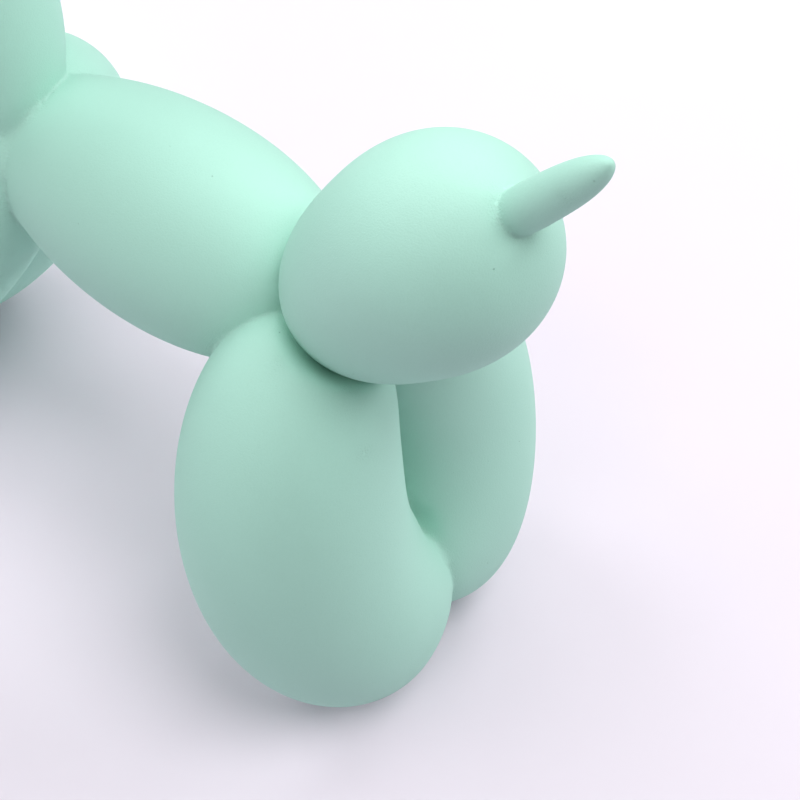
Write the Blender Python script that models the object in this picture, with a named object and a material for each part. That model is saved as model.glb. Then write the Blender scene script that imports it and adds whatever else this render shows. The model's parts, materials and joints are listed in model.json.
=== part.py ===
"""Balloon dog statue: a matt mint ornament cast in one piece as a dog twisted from one long balloon.

Metres, +Z up. The dog faces -Y and its left side is +X. The origin is on the floor, under the
middle of the whole statue, and the four feet have small flats that stand on the floor.
"""
import math

import bmesh
import bpy
from mathutils import Vector

# Body: one level bubble along Y, a little fuller at the rump. Y is first measured from its middle.
BODY_HEIGHT = 0.1193
BODY_HALF_LENGTH = 0.055
BODY_RADIUS = 0.0285
BODY_TAPER = 0.08

# Hind legs: two equal bubbles hung from the hips, bowed outwards and fullest at the foot.
HIND_Y = 0.0506
HIND_RISE = 0.0057
HIND_LEAN = math.radians(14.45)
HIND_TOP_OFFSET = 0.0052
HIND_HALF_LENGTH = 0.0611
HIND_RADIUS = 0.030
HIND_FULLNESS = 3.8
HIND_ROUNDNESS = 2.57
HIND_TAPER = 0.12
HIND_BOW = 0.0244
HIND_UPPER_BOW = 0.0025

# Presses that shape the left hind leg: where from the body's middle, how far, and their reach.
HIND_PRESSES = {
    "under_tail": (Vector((0.017, 0.060, 0.0109)), Vector((0.0, 0.0, -0.0052)), 0.016),
    "between_thighs": (Vector((0.0, 0.0704, -0.0065)), Vector((-0.0017, 0.0, 0.0)), 0.0188),
    "top_of_seam": (Vector((0.0, 0.0826, -0.0663)), Vector((0.0022, 0.0, 0.0)), 0.0104),
    "ankles": (Vector((0.0, 0.0968, -0.0831)), Vector((-0.0030, 0.0, 0.0)), 0.0258),
}

# Forelegs: longer, gathered to a point at the foot of the neck, and leaning forward.
FORE_Y = -0.0385
FORE_RISE = 0.0152
FORE_LEAN = math.radians(33.4)
FORE_TOP_OFFSET = 0.0005
FORE_HALF_LENGTH = 0.0769
FORE_RADIUS = 0.0298
FORE_ROOT_FULLNESS = 2.6
FORE_FULLNESS = 3.6
FORE_ROUNDNESS = 2.48
FORE_TAPER = 0.11
FORE_BOW = 0.0173
FORE_UPPER_BOW = 0.0024

# Tail: an egg-shaped bubble, with the balloon's closed end drawn out to a finger on its tip.
TAIL_Y = 0.0480
TAIL_RISE = -0.0022
TAIL_ELEVATION = math.radians(55.66)
TAIL_HALF_LENGTH = 0.0394
TAIL_RADIUS = 0.0257
TAIL_ROOT_FULLNESS = 2.92
TAIL_FULLNESS = 2.24
TAIL_TAPER = 0.19
TIP_ELEVATION = math.radians(56.4)
TIP_SINK = 0.008
TIP_HALF_LENGTH = 0.0182
TIP_RADIUS = 0.0049
TIP_TAPER = -0.17
TIP_FULLNESS = 2.94

# Neck: a bubble that leans forward and is slimmer at the chest.
NECK_Y = -0.0404
NECK_RISE = 0.0102
NECK_LEAN = math.radians(40.7)
NECK_HALF_LENGTH = 0.049
NECK_RADIUS = 0.0252
NECK_FULLNESS = 2.2
NECK_TAPER = 0.20

# Head: a short muzzle with the balloon's knot on its end, and two ears side by side.
HEAD_SINK = 0.008
MUZZLE_DROP = math.radians(10.0)
MUZZLE_HALF_LENGTH = 0.0325
MUZZLE_RADIUS = 0.0235
MUZZLE_FULLNESS = 2.3
KNOT_SINK = 0.003
KNOT_HALF_LENGTH = 0.0065
KNOT_RADIUS = 0.0042
KNOT_FULLNESS = 3.0
KNOT_TAPER = 0.18
EAR_HALF_LENGTH = 0.029
EAR_RADIUS = 0.0178
EAR_FULLNESS = 2.8
EAR_ROUNDNESS = 2.2
EAR_BOW = 0.0135
EAR_BACK_LEAN = math.radians(16.0)
EAR_ROOT_OFFSET = 0.004
EAR_ROOT_BACK = 0.004

# Facets of each kind of bubble: sides round it and rows along it.
LARGE_FACETS = (28, 19)
EAR_FACETS = (24, 15)
SMALL_FACETS = (16, 11)

FLOOR_BLOCK_SIZE = 0.5
MERGE_DISTANCE = 0.00005

MINT = (0.434, 0.760, 0.610, 1.0)
MINT_ROUGHNESS = 0.62


def clear_scene():
    """Start from nothing."""
    for old in list(bpy.data.objects):
        bpy.data.objects.remove(old, do_unlink=True)


def make_mint():
    """Matt, chalky mint paint."""
    material = bpy.data.materials.new("mint_matt")
    material.use_nodes = True
    shader = material.node_tree.nodes["Principled BSDF"]
    shader.inputs["Base Color"].default_value = MINT
    shader.inputs["Roughness"].default_value = MINT_ROUGHNESS
    shader.inputs["Metallic"].default_value = 0.0
    return material


def bubble(name, start, direction, half_length, radius, fullness=2.0, roundness=2.0,
           taper=0.0, bow=0.0, upper_bow=0.0, root_fullness=None, facets=LARGE_FACETS):
    """A closed blown bubble from start along direction.

    Rows run from -1 at start to 1 at the far end. fullness squares the profile's ends along the
    bubble, roundness squares them across it, taper widens the far end, and bow and upper_bow
    carry the middle and the upper half of the centre line out along +X. root_fullness is the
    fullness of the half next to start, where that half differs.
    """
    axis = direction.normalized()
    outwards = Vector((1.0, 0.0, 0.0))
    across = axis.cross(outwards).normalized()
    work = bmesh.new()
    bmesh.ops.create_uvsphere(work, u_segments=facets[0], v_segments=facets[1], radius=1.0)
    for vertex in work.verts:
        row = max(-1.0, min(1.0, vertex.co.z))
        turn = math.atan2(vertex.co.y, vertex.co.x)
        at_pole = vertex.co.xy.length < MERGE_DISTANCE
        squareness = root_fullness if root_fullness and row < 0.0 else fullness
        swell = 0.0 if at_pole else (1.0 - abs(row) ** squareness) ** (1.0 / roundness)
        reach = radius * swell * (1.0 + taper * row)
        middle = 1.0 - row * row
        centre = start + axis * half_length * (1.0 + row) + outwards * (bow - upper_bow * row) * middle
        slope = -2.0 * bow * row - upper_bow * (1.0 - 3.0 * row * row)
        tangent = (axis * half_length + outwards * slope).normalized()
        normal = tangent.cross(across)
        vertex.co = centre + normal * (-math.cos(turn) * reach) + across * (math.sin(turn) * reach)
    bmesh.ops.recalc_face_normals(work, faces=work.faces[:])
    mesh = bpy.data.meshes.new(name)
    work.to_mesh(mesh)
    work.free()
    mesh.shade_smooth()
    made = bpy.data.objects.new(name, mesh)
    bpy.context.scene.collection.objects.link(made)
    return made


def far_end(start, direction, half_length):
    """Where a straight bubble ends."""
    return start + direction.normalized() * 2.0 * half_length


def press(pressed, place, push, reach):
    """Press a bubble smoothly in or out round a place, where a neighbour crowds it."""
    for vertex in pressed.data.vertices:
        nearness = max(0.0, 1.0 - (vertex.co - place).length / reach)
        vertex.co += push * ((3.0 - 2.0 * nearness) * nearness * nearness)


def make_legs():
    """The left hind leg, pressed where the tail and its fellow crowd it, and the left foreleg."""
    hip = Vector((HIND_TOP_OFFSET, HIND_Y, BODY_HEIGHT + HIND_RISE))
    back_and_down = Vector((0.0, math.sin(HIND_LEAN), -math.cos(HIND_LEAN)))
    hind = bubble("hind_leg", hip, back_and_down, HIND_HALF_LENGTH, HIND_RADIUS, HIND_FULLNESS,
                  HIND_ROUNDNESS, HIND_TAPER, HIND_BOW, HIND_UPPER_BOW)
    body_middle = Vector((0.0, 0.0, BODY_HEIGHT))
    for place, push, reach in HIND_PRESSES.values():
        press(hind, body_middle + place, push, reach)
    withers = Vector((FORE_TOP_OFFSET, FORE_Y, BODY_HEIGHT + FORE_RISE))
    ahead_and_down = Vector((0.0, -math.sin(FORE_LEAN), -math.cos(FORE_LEAN)))
    fore = bubble("foreleg", withers, ahead_and_down, FORE_HALF_LENGTH, FORE_RADIUS, FORE_FULLNESS,
                  FORE_ROUNDNESS, FORE_TAPER, FORE_BOW, FORE_UPPER_BOW, FORE_ROOT_FULLNESS)
    return [hind, fore]


def make_tail():
    """The tail bubble and the finger that carries on from its far end."""
    rising = Vector((0.0, math.cos(TAIL_ELEVATION), math.sin(TAIL_ELEVATION)))
    root = Vector((0.0, TAIL_Y, BODY_HEIGHT + TAIL_RISE))
    tail = bubble("tail", root, rising, TAIL_HALF_LENGTH, TAIL_RADIUS, TAIL_FULLNESS,
                  taper=TAIL_TAPER, root_fullness=TAIL_ROOT_FULLNESS)
    tip_rising = Vector((0.0, math.cos(TIP_ELEVATION), math.sin(TIP_ELEVATION)))
    tip_root = far_end(root, rising, TAIL_HALF_LENGTH) - tip_rising * TIP_SINK
    tip = bubble("tail_tip", tip_root, tip_rising, TIP_HALF_LENGTH, TIP_RADIUS, TIP_FULLNESS,
                 taper=TIP_TAPER, facets=SMALL_FACETS)
    return [tail, tip]


def make_neck_and_head():
    """The neck, the muzzle with its knot, and the left ear."""
    rising = Vector((0.0, -math.sin(NECK_LEAN), math.cos(NECK_LEAN)))
    chest = Vector((0.0, NECK_Y, BODY_HEIGHT + NECK_RISE))
    neck = bubble("neck", chest, rising, NECK_HALF_LENGTH, NECK_RADIUS, NECK_FULLNESS,
                  taper=NECK_TAPER)
    poll = far_end(chest, rising, NECK_HALF_LENGTH) - rising * HEAD_SINK

    forward = Vector((0.0, -math.cos(MUZZLE_DROP), -math.sin(MUZZLE_DROP)))
    muzzle = bubble("muzzle", poll, forward, MUZZLE_HALF_LENGTH, MUZZLE_RADIUS, MUZZLE_FULLNESS)
    knot_root = far_end(poll, forward, MUZZLE_HALF_LENGTH) - forward * KNOT_SINK
    knot = bubble("knot", knot_root, forward, KNOT_HALF_LENGTH, KNOT_RADIUS, KNOT_FULLNESS,
                  taper=KNOT_TAPER, facets=SMALL_FACETS)

    upwards = Vector((0.0, math.sin(EAR_BACK_LEAN), math.cos(EAR_BACK_LEAN)))
    ear_root = poll + Vector((EAR_ROOT_OFFSET, EAR_ROOT_BACK, 0.0))
    ear = bubble("ear", ear_root, upwards, EAR_HALF_LENGTH, EAR_RADIUS, EAR_FULLNESS,
                 EAR_ROUNDNESS, bow=EAR_BOW, facets=EAR_FACETS)
    return [neck, muzzle, knot, ear]


def make_floor_block():
    """What trims the four foot flats: a block whose top is the floor."""
    bpy.ops.mesh.primitive_cube_add(size=FLOOR_BLOCK_SIZE, location=(0.0, 0.0, -FLOOR_BLOCK_SIZE / 2))
    block = bpy.context.active_object
    block.name = "floor_block"
    return block


def set_aside(helper):
    """Keep a shape that only builds the statue out of the finished model."""
    helper.hide_render = True
    helper.display_type = "WIRE"


def fuse(statue, bubbles, floor_block):
    """One casting: the bubbles joined, the feet trimmed, and the left half mirrored."""
    for other in bubbles:
        union = statue.modifiers.new("join_" + other.name, "BOOLEAN")
        union.operation = "UNION"
        union.solver = "EXACT"
        union.object = other
        set_aside(other)
    trim = statue.modifiers.new("foot_flats", "BOOLEAN")
    trim.operation = "DIFFERENCE"
    trim.solver = "EXACT"
    trim.object = floor_block
    set_aside(floor_block)
    mirror = statue.modifiers.new("right_half", "MIRROR")
    mirror.use_axis = (True, False, False)
    mirror.use_bisect_axis = (True, False, False)
    mirror.use_mirror_merge = True
    mirror.merge_threshold = MERGE_DISTANCE
    mirror.bisect_threshold = MERGE_DISTANCE / 10


def centre_over_origin(pieces):
    """Slide everything along Y until the origin is under the middle of the whole statue."""
    ends = [vertex.co.y for piece in pieces for vertex in piece.data.vertices]
    middle = (min(ends) + max(ends)) / 2
    for piece in pieces:
        for vertex in piece.data.vertices:
            vertex.co.y -= middle


def main():
    clear_scene()
    statue = bubble("balloon_dog", Vector((0.0, -BODY_HALF_LENGTH, BODY_HEIGHT)),
                    Vector((0.0, 1.0, 0.0)), BODY_HALF_LENGTH, BODY_RADIUS, taper=BODY_TAPER)
    statue.data.materials.append(make_mint())
    bubbles = make_legs() + make_tail() + make_neck_and_head()
    centre_over_origin([statue] + bubbles)
    fuse(statue, bubbles, make_floor_block())


main()
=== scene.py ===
"""Looks of the balloon dog statue: one matt mint casting with softened creases and a chalky skin.

Metres, +Z up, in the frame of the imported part. The dog faces -Y and its left side is +X. Each
bubble of the twisted balloon is modelled upright and turned into place. A skin is drawn over the
legs, body, neck and head and another over the tail, and the two are joined into one piece.
"""
import json
import math

import bmesh
import bpy
from mathutils import Matrix, Vector
from mathutils.kdtree import KDTree

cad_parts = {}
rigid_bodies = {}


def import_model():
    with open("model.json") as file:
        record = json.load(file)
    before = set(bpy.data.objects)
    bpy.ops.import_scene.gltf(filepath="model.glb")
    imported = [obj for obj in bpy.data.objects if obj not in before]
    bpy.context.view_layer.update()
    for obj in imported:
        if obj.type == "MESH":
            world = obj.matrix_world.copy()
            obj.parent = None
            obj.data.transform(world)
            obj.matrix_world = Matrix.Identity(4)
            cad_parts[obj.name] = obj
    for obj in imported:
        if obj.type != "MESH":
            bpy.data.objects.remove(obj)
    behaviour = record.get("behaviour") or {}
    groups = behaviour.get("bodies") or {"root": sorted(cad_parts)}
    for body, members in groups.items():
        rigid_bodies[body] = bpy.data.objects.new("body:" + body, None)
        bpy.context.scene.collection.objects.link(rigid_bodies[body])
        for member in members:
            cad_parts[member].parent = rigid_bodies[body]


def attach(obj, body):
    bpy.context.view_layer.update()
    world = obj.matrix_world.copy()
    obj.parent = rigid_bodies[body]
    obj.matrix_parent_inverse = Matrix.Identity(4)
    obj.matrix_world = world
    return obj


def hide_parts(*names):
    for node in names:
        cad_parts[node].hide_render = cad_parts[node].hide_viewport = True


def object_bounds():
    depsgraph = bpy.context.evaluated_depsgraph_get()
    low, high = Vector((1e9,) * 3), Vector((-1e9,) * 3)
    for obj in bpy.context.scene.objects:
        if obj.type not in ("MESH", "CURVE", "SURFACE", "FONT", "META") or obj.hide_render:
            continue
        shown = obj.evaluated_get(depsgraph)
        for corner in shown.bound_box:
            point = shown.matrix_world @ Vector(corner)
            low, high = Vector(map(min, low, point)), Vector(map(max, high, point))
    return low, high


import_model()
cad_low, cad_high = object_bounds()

# Body: one level bubble along Y, a little fuller at the rump. Y is first measured from its middle.
BODY_HEIGHT = 0.1193
BODY_HALF_LENGTH = 0.055
BODY_RADIUS = 0.0285
BODY_TAPER = 0.08

# Hind legs: two equal bubbles hung from the hips, bowed outwards and fullest at the foot.
HIND_Y = 0.0506
HIND_RISE = 0.0057
HIND_LEAN = math.radians(14.45)
HIND_TOP_OFFSET = 0.0052
HIND_HALF_LENGTH = 0.0611
HIND_RADIUS = 0.030
HIND_FULLNESS = 3.8
HIND_ROUNDNESS = 2.57
HIND_TAPER = 0.12
HIND_BOW = 0.0244
HIND_UPPER_BOW = 0.0025

# Presses that shape the left hind leg: where from the body's middle, how far, and their reach.
HIND_PRESSES = {
    "under_tail": (Vector((0.011, 0.060, 0.0097)), Vector((0.0, 0.0, -0.0098)), 0.016),
    "between_thighs": (Vector((0.0, 0.0704, -0.0065)), Vector((-0.0017, 0.0, 0.0)), 0.0188),
    "top_of_seam": (Vector((0.0, 0.0826, -0.0663)), Vector((0.0022, 0.0, 0.0)), 0.0104),
    "ankles": (Vector((0.0, 0.0968, -0.0831)), Vector((-0.0030, 0.0, 0.0)), 0.0258),
}

# Forelegs: longer, gathered to a point at the foot of the neck, and leaning forward.
FORE_Y = -0.0385
FORE_RISE = 0.0152
FORE_LEAN = math.radians(33.4)
FORE_TOP_OFFSET = 0.0005
FORE_HALF_LENGTH = 0.0769
FORE_RADIUS = 0.0298
FORE_ROOT_FULLNESS = 2.6
FORE_FULLNESS = 3.6
FORE_ROUNDNESS = 2.48
FORE_TAPER = 0.11
FORE_BOW = 0.0173
FORE_UPPER_BOW = 0.0024

# Tail: an egg-shaped bubble, with the balloon's closed end drawn out to a finger on its tip.
TAIL_Y = 0.0480
TAIL_RISE = -0.0022
TAIL_ELEVATION = math.radians(55.66)
TAIL_HALF_LENGTH = 0.0394
TAIL_RADIUS = 0.0257
TAIL_ROOT_FULLNESS = 2.92
TAIL_FULLNESS = 2.24
TAIL_TAPER = 0.19
TIP_ELEVATION = math.radians(56.4)
TIP_SINK = 0.008
TIP_HALF_LENGTH = 0.0182
TIP_RADIUS = 0.0049
TIP_TAPER = -0.17
TIP_FULLNESS = 2.94

# Neck: a bubble that leans forward and is slimmer at the chest. Its press carries the left side of
# its base down over the shoulder.
NECK_Y = -0.0404
NECK_RISE = 0.0102
NECK_LEAN = math.radians(40.7)
NECK_HALF_LENGTH = 0.049
NECK_RADIUS = 0.0252
NECK_FULLNESS = 2.2
NECK_TAPER = 0.20
NECK_PRESS = (Vector((0.0127, -0.0432, 0.0223)), Vector((0.0022, 0.0059, -0.0106)), 0.0234)

# Head: a short muzzle with the balloon's knot on its end, and two ears side by side.
HEAD_SINK = 0.008
MUZZLE_DROP = math.radians(10.0)
MUZZLE_HALF_LENGTH = 0.0325
MUZZLE_RADIUS = 0.0235
MUZZLE_FULLNESS = 2.3
KNOT_SINK = 0.003
KNOT_HALF_LENGTH = 0.0065
KNOT_RADIUS = 0.0042
KNOT_FULLNESS = 3.0
KNOT_TAPER = 0.18
EAR_HALF_LENGTH = 0.029
EAR_RADIUS = 0.0178
EAR_FULLNESS = 2.8
EAR_ROUNDNESS = 2.2
EAR_BOW = 0.0135
EAR_BACK_LEAN = math.radians(16.0)
EAR_ROOT_OFFSET = 0.004
EAR_ROOT_BACK = 0.004

# Modelling detail: sides round a bubble and steps along it, then the grain of the skin, and the
# triangles kept on the tail and on the rest. FACE_TURN is where shading stops being smooth.
LARGE_DETAIL = (96, 48)
SMALL_DETAIL = (40, 24)
SKIN_GRAIN = 0.0005
SKIN_TRIANGLES = 168000
TAIL_TRIANGLES = 24000
TRIM_THRESHOLD = 0.000001
FACE_TURN = math.radians(40.0)

# Creases: how sharp a fold counts as one, how widely, how often and how strongly it is smoothed,
# and how far its rougher paint and painted shade reach. The soft folds are filled the most, and
# the fold round the tail's root stays crisp. Places are measured from the body's middle.
CREASE_ANGLE = math.radians(16.0)
CREASE_GROWTH = 1
CREASE_PASSES = 4
PASS_SHARE = 0.5
CREASE_REACH = 0.004
SOFT_FOLDS = {
    "start_of_hind_seam": (Vector((0.0, 0.086, -0.067)), 0.010),
    "left_shoulder": (Vector((0.014, -0.037, 0.014)), 0.008),
}
SOFT_GROWTH = 6
SOFT_PASSES = 40

# Camera: a close viewpoint behind the dog's left hip, measured from the middle of the body.
CAMERA_PLACE = Vector((0.18145, 0.16726, 0.26154))
CAMERA_RIGHT = Vector((-0.5672, 0.8183, 0.0926))
CAMERA_FORWARD = Vector((-0.5250, -0.2726, -0.8063))
CAMERA_LENS = 63.0
CAMERA_SENSOR = 36.0
CAMERA_NEAR = 0.01

# Finish: colours, then sizes and depths in metres. Grain is the chalky tooth all over, spray the
# coarser paint in creases, where a darker colour is also laid on as painted shade, and pits are the
# few pinholes of the casting, coloured darker as painted shade inside them.
MINT = (0.425, 0.727, 0.619, 1.0)
MINT_SHADE = (0.404, 0.700, 0.594, 1.0)
# Painted shade: the darker colour of the pinholes, standing in for the shade inside them.
PAINTED_PIT_SHADE = (0.250, 0.480, 0.400, 1.0)
# Painted shade: the darker colour laid into the creases, speckled like the coarser spray.
SPRAY_AND_PAINTED_CREASE_SHADE = (0.330, 0.590, 0.505, 1.0)
MINT_SHEEN = 0.35
MINT_ROUGHNESS = (0.58, 0.72)
MINT_GRAIN = 0.0004
SPRAY_GRAIN = 0.0005
# How strongly the painted shade darkens the creases.
PAINTED_CREASE_SHADE_SHARE = 0.12
PIT_SPACING = 0.008
PIT_SIZE = 0.00028
SURFACE_DEPTH = 0.00006
SPRAY_HEIGHT = 1.5
PIT_HEIGHT = -2.5
PAPER = (0.801, 0.737, 0.823, 1.0)
PAPER_SHADE = (0.789, 0.726, 0.811, 1.0)
PAPER_SHEEN = 0.2
PAPER_ROUGHNESS = 0.9
PAPER_GRAIN = 0.0009
MOTTLE_SIZE = 0.028
MOTTLE_DETAIL = 5.0
GRAIN_DETAIL = 3.0
GRAIN_ROUGHNESS = 0.6
SPECKLE_BAND = (0.40, 0.66)

# Light: soft round lights about the statue, each by its bearing from +X, its height and its power.
LIGHT_AIM = Vector((0.0, 0.03, 0.09))
LIGHT_DISTANCE = 1.3
LIGHT_SIZE = 0.7
LOW = math.radians(20.0)
HALFWAY = math.radians(45.0)
HIGH = math.radians(70.0)
SOFT_LIGHTS = {
    "behind_overhead": (math.radians(90.0), HIGH, 8.6),
    "behind_right": (math.radians(135.0), LOW, 5.8),
    "right": (math.radians(180.0), HALFWAY, 5.2),
    "ahead_right": (math.radians(225.0), HALFWAY, 2.8),
    "ahead": (math.radians(270.0), HALFWAY, 6.3),
    "ahead_left": (math.radians(315.0), HALFWAY, 3.9),
    "left": (0.0, HALFWAY, 3.2),
}

# Floor: a round sheet of paper.
FLOOR_RADIUS = 6.0
FLOOR_SIDES = 96


def start_clean():
    """Leave nothing selected, so that the next operator acts only on what it makes."""
    bpy.ops.object.select_all(action="DESELECT")


def select_only(piece):
    """Make one object the only one that is selected."""
    start_clean()
    piece.select_set(True)
    bpy.context.view_layer.objects.active = piece


def blow(name, half_length, radius, fullness=2.0, roundness=2.0, taper=0.0, bow=0.0,
         upper_bow=0.0, root_fullness=None, detail=LARGE_DETAIL):
    """Model one bubble upright on the origin, row by row, drawn to a point at both ends.

    Rows run from -1 at the origin to 1 at the far end. fullness squares the profile's ends along
    the bubble, roundness squares them across it, taper widens the far end, and bow and upper_bow
    carry the middle and the upper half of the centre line out along +X. root_fullness is the
    fullness of the half next to the origin, where that half differs.
    """
    sides, steps = detail
    rows = [-math.cos(math.pi * step / steps) for step in range(1, steps)]

    def middle(row):
        swing = (bow - upper_bow * row) * (1.0 - row * row)
        return Vector((swing, 0.0, half_length * (1.0 + row)))

    def reach(row):
        squareness = root_fullness if root_fullness and row < 0.0 else fullness
        return radius * (1.0 - abs(row) ** squareness) ** (1.0 / roundness) * (1.0 + taper * row)

    def lean(row):
        return math.atan2(-2.0 * bow * row - upper_bow * (1.0 - 3.0 * row * row), half_length)

    start_clean()
    bpy.ops.mesh.primitive_circle_add(vertices=sides, radius=reach(rows[0]), fill_type="NOTHING",
                                      location=middle(rows[0]), rotation=(0.0, lean(rows[0]), 0.0))
    made = bpy.context.active_object
    made.name = name
    bpy.ops.object.transform_apply(location=True, rotation=True, scale=True)
    bpy.ops.object.mode_set(mode="EDIT")
    bpy.ops.mesh.select_mode(type="VERT")
    bpy.ops.mesh.select_all(action="SELECT")
    for last, row in zip(rows, rows[1:]):
        ring = middle(row)
        bpy.ops.mesh.extrude_region_move(TRANSFORM_OT_translate={"value": ring - middle(last)})
        bpy.ops.transform.resize(value=(reach(row) / reach(last),) * 3, center_override=ring)
        bpy.ops.transform.rotate(value=lean(last) - lean(row), orient_axis="Y",
                                 center_override=ring)
    draw_to_point(middle(1.0) - middle(rows[-1]))
    bpy.ops.mesh.select_all(action="DESELECT")
    bpy.ops.mesh.select_non_manifold(extend=False, use_wire=False, use_boundary=True,
                                     use_multi_face=False, use_non_contiguous=False,
                                     use_verts=False)
    draw_to_point(middle(-1.0) - middle(rows[0]))
    bpy.ops.mesh.select_all(action="SELECT")
    bpy.ops.mesh.normals_make_consistent(inside=False)
    bpy.ops.object.mode_set(mode="OBJECT")
    subdivide = made.modifiers.new("smooth", "SUBSURF")
    subdivide.levels = 1
    subdivide.render_levels = 1
    bpy.ops.object.modifier_apply(modifier=subdivide.name)
    return made


def draw_to_point(way):
    """Extrude the selected ring along way and gather it into one vertex."""
    bpy.ops.mesh.extrude_region_move(TRANSFORM_OT_translate={"value": way})
    bpy.ops.mesh.merge(type="CENTER")


def place(bubble, start, direction):
    """Turn an upright bubble about X to lie along direction, with its near end at start."""
    select_only(bubble)
    bubble.location = start
    bubble.rotation_euler = (math.atan2(-direction.y, direction.z), 0.0, 0.0)
    bpy.ops.object.transform_apply(location=True, rotation=True, scale=True)
    return bubble


def press(bubble, spot, push, reach):
    """Press a bubble smoothly in or out round its vertex nearest to spot."""
    nearest = min(bubble.data.vertices, key=lambda vertex: (vertex.co - spot).length).index
    select_only(bubble)
    bpy.ops.object.mode_set(mode="EDIT")
    bpy.ops.mesh.select_mode(type="VERT")
    bpy.ops.mesh.select_all(action="DESELECT")
    bpy.ops.object.mode_set(mode="OBJECT")
    bubble.data.vertices[nearest].select = True
    bpy.ops.object.mode_set(mode="EDIT")
    bpy.ops.transform.translate(value=push, use_proportional_edit=True,
                                proportional_edit_falloff="SMOOTH", proportional_size=reach)
    bpy.ops.object.mode_set(mode="OBJECT")
    return bubble


def press_from_body(bubble, how):
    """Press a placed bubble at a spot that is measured from the body's middle."""
    spot, push, reach = how
    return press(bubble, Vector((0.0, 0.0, BODY_HEIGHT)) + spot, push, reach)


def copy_of(bubble, name):
    """A second bubble of the same shape, with its own mesh."""
    select_only(bubble)
    bpy.ops.object.duplicate(linked=False)
    made = bpy.context.active_object
    made.name = name
    return made


def pair(bubble):
    """Give a left leg or ear its mirror image on the right."""
    select_only(bubble)
    mirror = bubble.modifiers.new("right_side", "MIRROR")
    mirror.use_mirror_merge = False
    bpy.ops.object.modifier_apply(modifier=mirror.name)
    return bubble


def make_body():
    """The barrel of the body, level from the shoulders to the hips."""
    body = blow("body", BODY_HALF_LENGTH, BODY_RADIUS, taper=BODY_TAPER)
    return [place(body, Vector((0.0, -BODY_HALF_LENGTH, BODY_HEIGHT)), Vector((0.0, 1.0, 0.0)))]


def make_legs():
    """The two hind legs and the two forelegs, each pair from one bubble on the left."""
    hind = blow("hind_legs", HIND_HALF_LENGTH, HIND_RADIUS, HIND_FULLNESS, HIND_ROUNDNESS,
                HIND_TAPER, HIND_BOW, HIND_UPPER_BOW)
    hip = Vector((HIND_TOP_OFFSET, HIND_Y, BODY_HEIGHT + HIND_RISE))
    back_and_down = Vector((0.0, math.sin(HIND_LEAN), -math.cos(HIND_LEAN)))
    fore = blow("forelegs", FORE_HALF_LENGTH, FORE_RADIUS, FORE_FULLNESS, FORE_ROUNDNESS,
                FORE_TAPER, FORE_BOW, FORE_UPPER_BOW, FORE_ROOT_FULLNESS)
    withers = Vector((FORE_TOP_OFFSET, FORE_Y, BODY_HEIGHT + FORE_RISE))
    ahead_and_down = Vector((0.0, -math.sin(FORE_LEAN), -math.cos(FORE_LEAN)))
    place(hind, hip, back_and_down)
    for how in HIND_PRESSES.values():
        press_from_body(hind, how)
    return [pair(hind), pair(place(fore, withers, ahead_and_down))]


def make_tail():
    """The tail bubble and the finger that carries on from its far end."""
    rising = Vector((0.0, math.cos(TAIL_ELEVATION), math.sin(TAIL_ELEVATION)))
    root = Vector((0.0, TAIL_Y, BODY_HEIGHT + TAIL_RISE))
    tail = blow("tail", TAIL_HALF_LENGTH, TAIL_RADIUS, TAIL_FULLNESS, taper=TAIL_TAPER,
                root_fullness=TAIL_ROOT_FULLNESS)
    tip = blow("tail_tip", TIP_HALF_LENGTH, TIP_RADIUS, TIP_FULLNESS, taper=TIP_TAPER,
               detail=SMALL_DETAIL)
    tip_rising = Vector((0.0, math.cos(TIP_ELEVATION), math.sin(TIP_ELEVATION)))
    tip_root = root + rising * 2.0 * TAIL_HALF_LENGTH - tip_rising * TIP_SINK
    return [place(tail, root, rising), place(tip, tip_root, tip_rising)]


def make_neck_and_head():
    """The neck, the muzzle with its knot, and the two ears."""
    rising = Vector((0.0, -math.sin(NECK_LEAN), math.cos(NECK_LEAN)))
    chest = Vector((0.0, NECK_Y, BODY_HEIGHT + NECK_RISE))
    poll = chest + rising * (2.0 * NECK_HALF_LENGTH - HEAD_SINK)
    neck = blow("neck", NECK_HALF_LENGTH, NECK_RADIUS, NECK_FULLNESS, taper=NECK_TAPER)
    place(neck, chest, rising)
    press_from_body(neck, NECK_PRESS)

    forward = Vector((0.0, -math.cos(MUZZLE_DROP), -math.sin(MUZZLE_DROP)))
    knot_root = poll + forward * (2.0 * MUZZLE_HALF_LENGTH - KNOT_SINK)
    muzzle = blow("muzzle", MUZZLE_HALF_LENGTH, MUZZLE_RADIUS, MUZZLE_FULLNESS)
    knot = blow("knot", KNOT_HALF_LENGTH, KNOT_RADIUS, KNOT_FULLNESS, taper=KNOT_TAPER,
                detail=SMALL_DETAIL)

    upwards = Vector((0.0, math.sin(EAR_BACK_LEAN), math.cos(EAR_BACK_LEAN)))
    ear_root = poll + Vector((EAR_ROOT_OFFSET, EAR_ROOT_BACK, 0.0))
    ears = blow("ears", EAR_HALF_LENGTH, EAR_RADIUS, EAR_FULLNESS, EAR_ROUNDNESS, bow=EAR_BOW)
    return [neck, place(muzzle, poll, forward), place(knot, knot_root, forward),
            pair(place(ears, ear_root, upwards))]


def apply_modifier(piece, kind, **settings):
    """Add a modifier with these settings and apply it at once."""
    select_only(piece)
    modifier = piece.modifiers.new(kind.lower(), kind)
    for name, value in settings.items():
        setattr(modifier, name, value)
    bpy.ops.object.modifier_apply(modifier=modifier.name)


def gather(bubbles):
    """Join bubbles into one form."""
    start_clean()
    for bubble in bubbles:
        bubble.select_set(True)
    form = bubbles[0]
    bpy.context.view_layer.objects.active = form
    bpy.ops.object.join()
    return form


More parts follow.
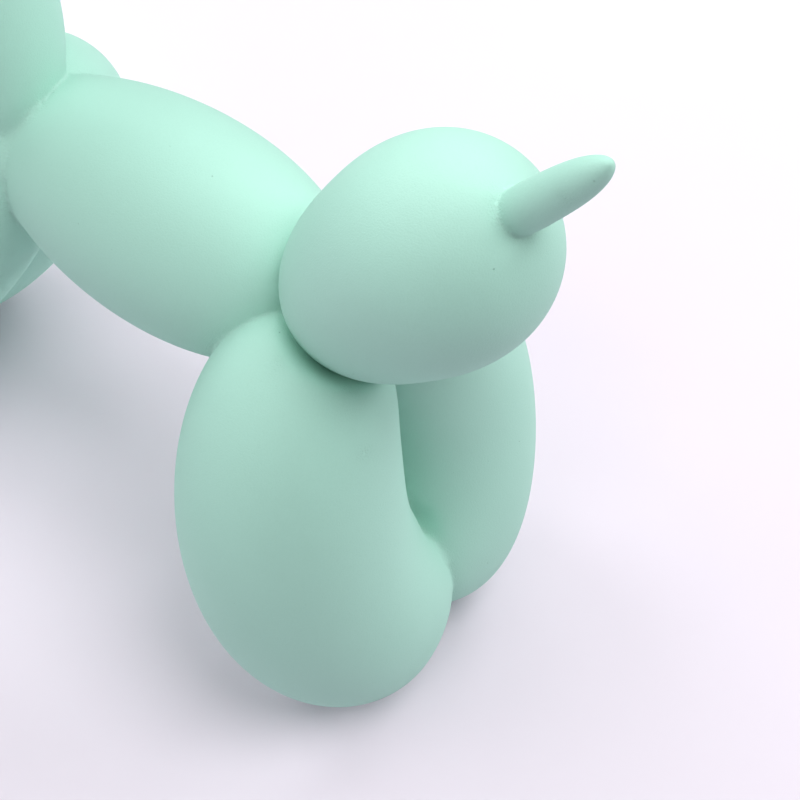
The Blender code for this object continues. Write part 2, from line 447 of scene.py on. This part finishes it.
def slide_to_middle(forms):
    """Slide the forms together along Y to the middle of the CAD box. Gives back how far."""
    ends = [vertex.co.y for form in forms for vertex in form.data.vertices]
    slide = (cad_low.y + cad_high.y) / 2 - (min(ends) + max(ends)) / 2
    for form in forms:
        select_only(form)
        form.location.y = slide
        bpy.ops.object.transform_apply(location=True, rotation=True, scale=True)
    return slide


def cast(form, name):
    """Draw one closed skin over the form, and then tight onto every bubble."""
    skin = copy_of(form, name)
    apply_modifier(skin, "REMESH", mode="VOXEL", voxel_size=SKIN_GRAIN, use_smooth_shade=True)
    apply_modifier(skin, "SHRINKWRAP", target=form)
    bpy.data.objects.remove(form, do_unlink=True)
    return skin


def find_creases(statue):
    """The skin's vertices along the folds where bubbles meet, by index."""
    work = bmesh.new()
    work.from_mesh(statue.data)
    folds = {vertex.index for edge in work.edges
             if edge.is_manifold and edge.calc_face_angle_signed(0.0) < -CREASE_ANGLE
             for vertex in edge.verts}
    work.free()
    return folds


def smooth_round(statue, chosen, growth, passes):
    """Smooth the skin at the chosen vertices and growth rings round them."""
    select_only(statue)
    bpy.ops.object.mode_set(mode="EDIT")
    bpy.ops.mesh.select_mode(type="VERT")
    work = bmesh.from_edit_mesh(statue.data)
    for vertex in work.verts:
        vertex.select = vertex.index in chosen
    work.select_flush_mode()
    for ring in range(growth):
        bpy.ops.mesh.select_more(use_face_step=True)
    bpy.ops.mesh.vertices_smooth(factor=PASS_SHARE, repeat=passes)
    bpy.ops.object.mode_set(mode="OBJECT")


def places(statue, chosen):
    """Where these vertices of the skin are."""
    return [statue.data.vertices[index].co.copy() for index in chosen]


def soften(statue, slide):
    """Round the creases a little, as paint and casting do. Gives back where they run."""
    body_middle = Vector((0.0, slide, BODY_HEIGHT))
    folds = find_creases(statue)
    creases = places(statue, folds)
    soft = {index for index, spot in zip(folds, creases)
            if any((spot - body_middle - middle).length < reach
                   for middle, reach in SOFT_FOLDS.values())}
    smooth_round(statue, folds, 0, 1)
    smooth_round(statue, folds, CREASE_GROWTH, CREASE_PASSES)
    if soft:
        smooth_round(statue, soft, SOFT_GROWTH, SOFT_PASSES)
    return creases


def thin(statue, triangles):
    """Keep the triangles where the skin curves most."""
    statue.data.calc_loop_triangles()
    share = triangles / len(statue.data.loop_triangles)
    apply_modifier(statue, "DECIMATE", ratio=min(1.0, share), use_collapse_triangulate=True)


def join_exactly(statue, tail):
    """Join the tail to the rest as one solid, with a crisp fold all round its root."""
    apply_modifier(statue, "BOOLEAN", operation="UNION", solver="EXACT", object=tail)
    bpy.data.objects.remove(tail, do_unlink=True)


def trim_feet(statue):
    """Cut the feet flat on the floor."""
    select_only(statue)
    bpy.ops.object.mode_set(mode="EDIT")
    bpy.ops.mesh.select_all(action="SELECT")
    bpy.ops.mesh.bisect(plane_co=(0.0, 0.0, 0.0), plane_no=(0.0, 0.0, 1.0), use_fill=True,
                        clear_inner=True, threshold=TRIM_THRESHOLD)
    bpy.ops.mesh.select_all(action="SELECT")
    bpy.ops.mesh.remove_doubles(threshold=TRIM_THRESHOLD)
    bpy.ops.mesh.quads_convert_to_tris(quad_method="BEAUTY", ngon_method="BEAUTY")
    bpy.ops.mesh.normals_make_consistent(inside=False)
    bpy.ops.object.mode_set(mode="OBJECT")
    select_only(statue)
    bpy.ops.object.shade_smooth_by_angle(angle=FACE_TURN)


def mark_creases(statue, creases):
    """Keep how near each part of the skin is to a crease, for the rougher paint and the painted
    crease shade.
    """
    known = KDTree(len(creases))
    for number, spot in enumerate(creases):
        known.insert(spot, number)
    known.balance()
    mask = statue.data.attributes.new("crease", "FLOAT", "POINT")
    for vertex in statue.data.vertices:
        distance = known.find(vertex.co)[2]
        mask.data[vertex.index].value = max(0.0, 1.0 - distance / CREASE_REACH) ** 2


def make_statue():
    """The whole statue as one piece, and how far its form was slid along Y."""
    form = gather(make_body() + make_legs() + make_neck_and_head())
    tail_form = gather(make_tail())
    slide = slide_to_middle([form, tail_form])
    statue = cast(form, "cast_balloon_dog")
    tail = cast(tail_form, "cast_tail")
    creases = soften(statue, slide) + soften(tail, slide)
    thin(statue, SKIN_TRIANGLES)
    thin(tail, TAIL_TRIANGLES)
    join_exactly(statue, tail)
    creases += places(statue, find_creases(statue))
    trim_feet(statue)
    mark_creases(statue, creases)
    return statue, slide


def link(tree, source, target):
    """Join two sockets of a node tree."""
    tree.links.new(source, target)


def combine(tree, operation, first, second):
    """One step of arithmetic on two sockets, or on a socket and a plain value."""
    step = tree.nodes.new("ShaderNodeMath")
    step.operation = operation
    for socket, given in zip(step.inputs, (first, second)):
        if isinstance(given, float):
            socket.default_value = given
        else:
            link(tree, given, socket)
    return step.outputs[0]


def spread(tree, value, band, results=(0.0, 1.0)):
    """Stretch the part of a value that lies in a band over the results."""
    reach = tree.nodes.new("ShaderNodeMapRange")
    reach.inputs["From Min"].default_value, reach.inputs["From Max"].default_value = band
    reach.inputs["To Min"].default_value, reach.inputs["To Max"].default_value = results
    link(tree, value, reach.inputs["Value"])
    return reach.outputs["Result"]


def tint(tree, mask, under, over):
    """Lay the colour over upon the one under, where the mask says. Under may be a socket."""
    layer = tree.nodes.new("ShaderNodeMix")
    layer.data_type = "RGBA"
    if isinstance(under, tuple):
        layer.inputs["A"].default_value = under
    else:
        link(tree, under, layer.inputs["A"])
    layer.inputs["B"].default_value = over
    link(tree, mask, layer.inputs["Factor"])
    return layer.outputs["Result"]


def make_grain_group():
    """Fine grain that paint and paper share: its height, its speckle, and a broad mottle."""
    group = bpy.data.node_groups.new("fine_grain", "ShaderNodeTree")
    group.interface.new_socket("Size", in_out="INPUT", socket_type="NodeSocketFloat")
    for name in ("Height", "Speckle", "Mottle"):
        group.interface.new_socket(name, in_out="OUTPUT", socket_type="NodeSocketFloat")
    nodes = group.nodes
    given = nodes.new("NodeGroupInput")
    put_out = nodes.new("NodeGroupOutput")
    place_on = nodes.new("ShaderNodeTexCoord")
    fine = nodes.new("ShaderNodeTexNoise")
    fine.inputs["Detail"].default_value = GRAIN_DETAIL
    fine.inputs["Roughness"].default_value = GRAIN_ROUGHNESS
    link(group, place_on.outputs["Object"], fine.inputs["Vector"])
    link(group, combine(group, "DIVIDE", 1.0, given.outputs["Size"]), fine.inputs["Scale"])
    link(group, fine.outputs["Fac"], put_out.inputs["Height"])
    link(group, spread(group, fine.outputs["Fac"], SPECKLE_BAND), put_out.inputs["Speckle"])
    broad = nodes.new("ShaderNodeTexNoise")
    broad.inputs["Scale"].default_value = 1.0 / MOTTLE_SIZE
    broad.inputs["Detail"].default_value = MOTTLE_DETAIL
    link(group, place_on.outputs["Object"], broad.inputs["Vector"])
    link(group, broad.outputs["Fac"], put_out.inputs["Mottle"])
    return group


def new_material(name):
    """An empty material with one Principled BSDF, and the parts that the caller wires up."""
    material = bpy.data.materials.new(name)
    material.use_nodes = True
    tree = material.node_tree
    return material, tree, tree.nodes["Principled BSDF"]


def add_grain(tree, grain, size):
    """Place the shared grain in a material at its own size."""
    node = tree.nodes.new("ShaderNodeGroup")
    node.node_tree = grain
    node.inputs["Size"].default_value = size
    return node


def make_pits(tree):
    """A mask of the few pinholes that a casting keeps, scattered through the skin."""
    place_on = tree.nodes.new("ShaderNodeTexCoord")
    holes = tree.nodes.new("ShaderNodeTexVoronoi")
    holes.inputs["Scale"].default_value = 1.0 / PIT_SPACING
    link(tree, place_on.outputs["Object"], holes.inputs["Vector"])
    return spread(tree, holes.outputs["Distance"], (0.0, PIT_SIZE / PIT_SPACING), (1.0, 0.0))


def make_mint_paint(grain):
    """Matt chalky mint: soft mottling, fine tooth, a few pits, and rougher spray in the creases;
    pits and creases are also darkened with painted shade.
    """
    material, tree, shader = new_material("matt_mint_paint")
    shader.inputs["Metallic"].default_value = 0.0
    shader.inputs["Specular IOR Level"].default_value = MINT_SHEEN
    tooth = add_grain(tree, grain, MINT_GRAIN).outputs
    spray = add_grain(tree, grain, SPRAY_GRAIN).outputs
    pits = make_pits(tree)
    creases = tree.nodes.new("ShaderNodeAttribute")
    creases.attribute_name = "crease"
    # Near the creases, speckled: drives the painted crease shade and the spray's bumps.
    crease_spray_and_shade = combine(tree, "MULTIPLY", creases.outputs["Fac"], spray["Speckle"])

    worn = combine(tree, "MULTIPLY", tooth["Mottle"], tooth["Speckle"])
    chalky = tint(tree, worn, MINT, MINT_SHADE)
    # Painted shade: the creases are darkened towards this colour.
    painted_crease_shaded = tint(tree, combine(tree, "MULTIPLY", crease_spray_and_shade, PAINTED_CREASE_SHADE_SHARE), chalky, SPRAY_AND_PAINTED_CREASE_SHADE)
    # Painted shade: the pinholes are darkened towards this colour.
    link(tree, tint(tree, pits, painted_crease_shaded, PAINTED_PIT_SHADE), shader.inputs["Base Color"])
    link(tree, spread(tree, tooth["Mottle"], (0.0, 1.0), MINT_ROUGHNESS), shader.inputs["Roughness"])

    bump = tree.nodes.new("ShaderNodeBump")
    bump.inputs["Distance"].default_value = SURFACE_DEPTH
    rough = combine(tree, "ADD", tooth["Height"], combine(tree, "MULTIPLY", crease_spray_and_shade, SPRAY_HEIGHT))
    pitted = combine(tree, "ADD", rough, combine(tree, "MULTIPLY", pits, PIT_HEIGHT))
    link(tree, pitted, bump.inputs["Height"])
    link(tree, bump.outputs["Normal"], shader.inputs["Normal"])
    return material


def make_paper(grain):
    """Pale matt paper under the statue."""
    material, tree, shader = new_material("pale_paper")
    shader.inputs["Roughness"].default_value = PAPER_ROUGHNESS
    shader.inputs["Specular IOR Level"].default_value = PAPER_SHEEN
    tooth = add_grain(tree, grain, PAPER_GRAIN).outputs
    link(tree, tint(tree, tooth["Mottle"], PAPER, PAPER_SHADE), shader.inputs["Base Color"])
    return material


def make_floor(paper):
    """A sheet so wide that its edge never shows."""
    start_clean()
    bpy.ops.mesh.primitive_circle_add(vertices=FLOOR_SIDES, radius=FLOOR_RADIUS,
                                      fill_type="NGON")
    floor = bpy.context.active_object
    floor.name = "floor"
    floor.data.materials.append(paper)


def make_lights():
    """A ring of soft lights, strongest from behind and overhead."""
    for name, (bearing, height, power) in SOFT_LIGHTS.items():
        level = math.cos(height)
        outwards = Vector((math.cos(bearing) * level, math.sin(bearing) * level, math.sin(height)))
        bpy.ops.object.light_add(type="AREA", location=LIGHT_AIM + outwards * LIGHT_DISTANCE)
        light = bpy.context.active_object
        light.name = name
        light.data.shape = "DISK"
        light.data.size = LIGHT_SIZE
        light.data.energy = power
        light.rotation_euler = outwards.to_track_quat("Z", "Y").to_euler()


def make_camera(slide):
    """The photograph's viewpoint, carried along with the statue."""
    back = -CAMERA_FORWARD
    up = back.cross(CAMERA_RIGHT)
    turn = Matrix((CAMERA_RIGHT, up, back)).transposed().to_4x4()
    body_middle = Vector((0.0, slide, BODY_HEIGHT))
    bpy.ops.object.camera_add()
    camera = bpy.context.active_object
    camera.name = "camera"
    camera.matrix_world = Matrix.Translation(body_middle + CAMERA_PLACE) @ turn
    camera.data.lens = CAMERA_LENS
    camera.data.sensor_width = CAMERA_SENSOR
    camera.data.clip_start = CAMERA_NEAR
    bpy.context.scene.camera = camera


statue, slide = make_statue()
grain = make_grain_group()
statue.data.materials.clear()
statue.data.materials.append(make_mint_paint(grain))
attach(statue, "root")
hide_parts("balloon_dog")
make_floor(make_paper(grain))
make_lights()
make_camera(slide)
bpy.context.scene.view_settings.view_transform = "Standard"
